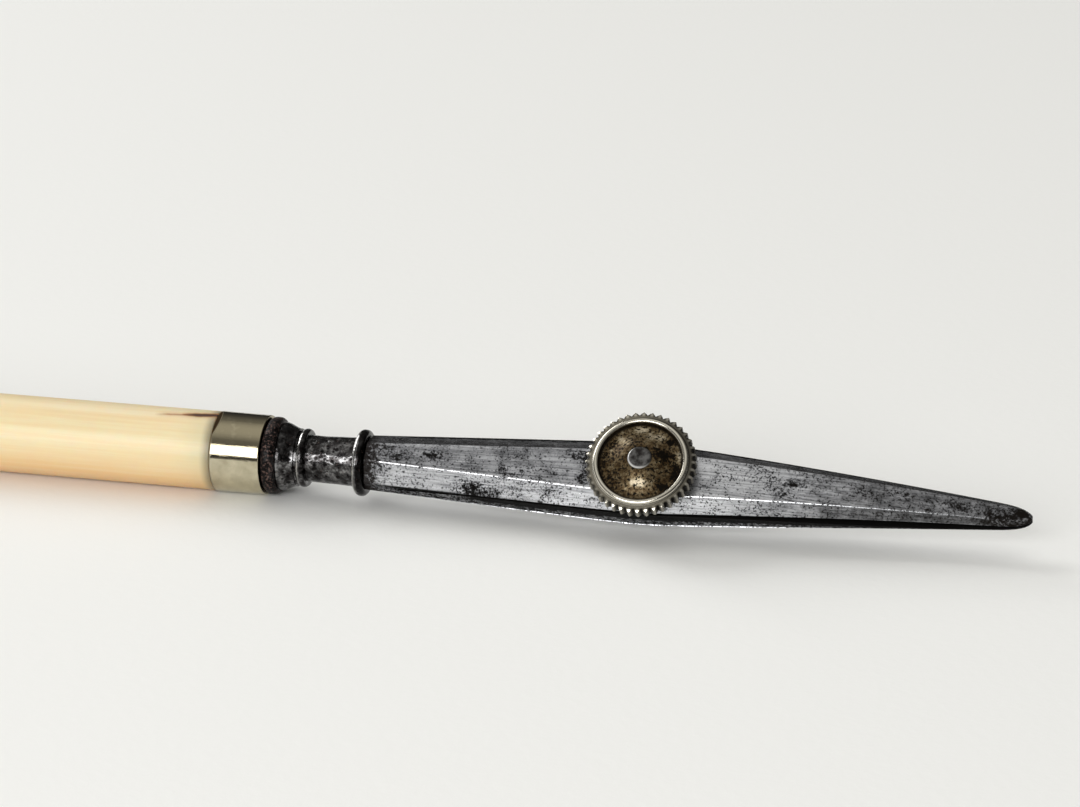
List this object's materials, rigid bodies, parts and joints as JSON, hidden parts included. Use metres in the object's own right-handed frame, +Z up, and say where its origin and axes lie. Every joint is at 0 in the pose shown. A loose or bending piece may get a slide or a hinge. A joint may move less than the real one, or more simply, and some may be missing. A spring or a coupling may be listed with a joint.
{
  "type": "ruling pen",
  "caption": "Ruling pen lying on its handle: round bone handle, turned steel bolster and two sprung steel blades, with a milled screw that sets the width of the inked line.",
  "frame": {"origin": "on the pen's axis, where the handle meets the ferrule", "axes": "+X along the pen to the nib, +Z up from the table, and the adjusting screw leaning 42 degrees from +Z towards -Y"},
  "size_m": [0.1763, 0.0103, 0.0103],
  "materials": {
    "bone": "polished, yellowed bone",
    "nickel_silver": "turned and polished, tarnished in the hollows",
    "dark_steel": "turned, dark and pitted with old rust",
    "blade_steel": "ground, stained and pitted",
    "screw_steel": "turned, grey"
  },
  "bodies": {
    "pen": {"handle": "bone", "ferrule": "nickel_silver", "bolster": "dark_steel", "back_blade": "blade_steel"},
    "front_blade": {"front_blade": "blade_steel"},
    "screw": {"adjusting_screw": "screw_steel", "milled_head": "nickel_silver"}
  },
  "joints": [
    {"name": "blade_flex", "type": "hinge", "parent": "pen", "child": "front_blade", "pos_m": [0.01052, -0.00047, 0.00052], "axis": [0, -0.7431, -0.6691], "range_deg": [-0.16, 1.66]},
    {"name": "screw_turn", "type": "hinge", "parent": "front_blade", "child": "screw", "pos_m": [0.03837, 0, 0], "axis": [0, -0.6691, 0.7431], "range_deg": [-66, 720]}
  ],
  "couplings": [
    {"joint": "blade_flex", "follows": "screw_turn", "ratio": 0.002286}
  ]
}
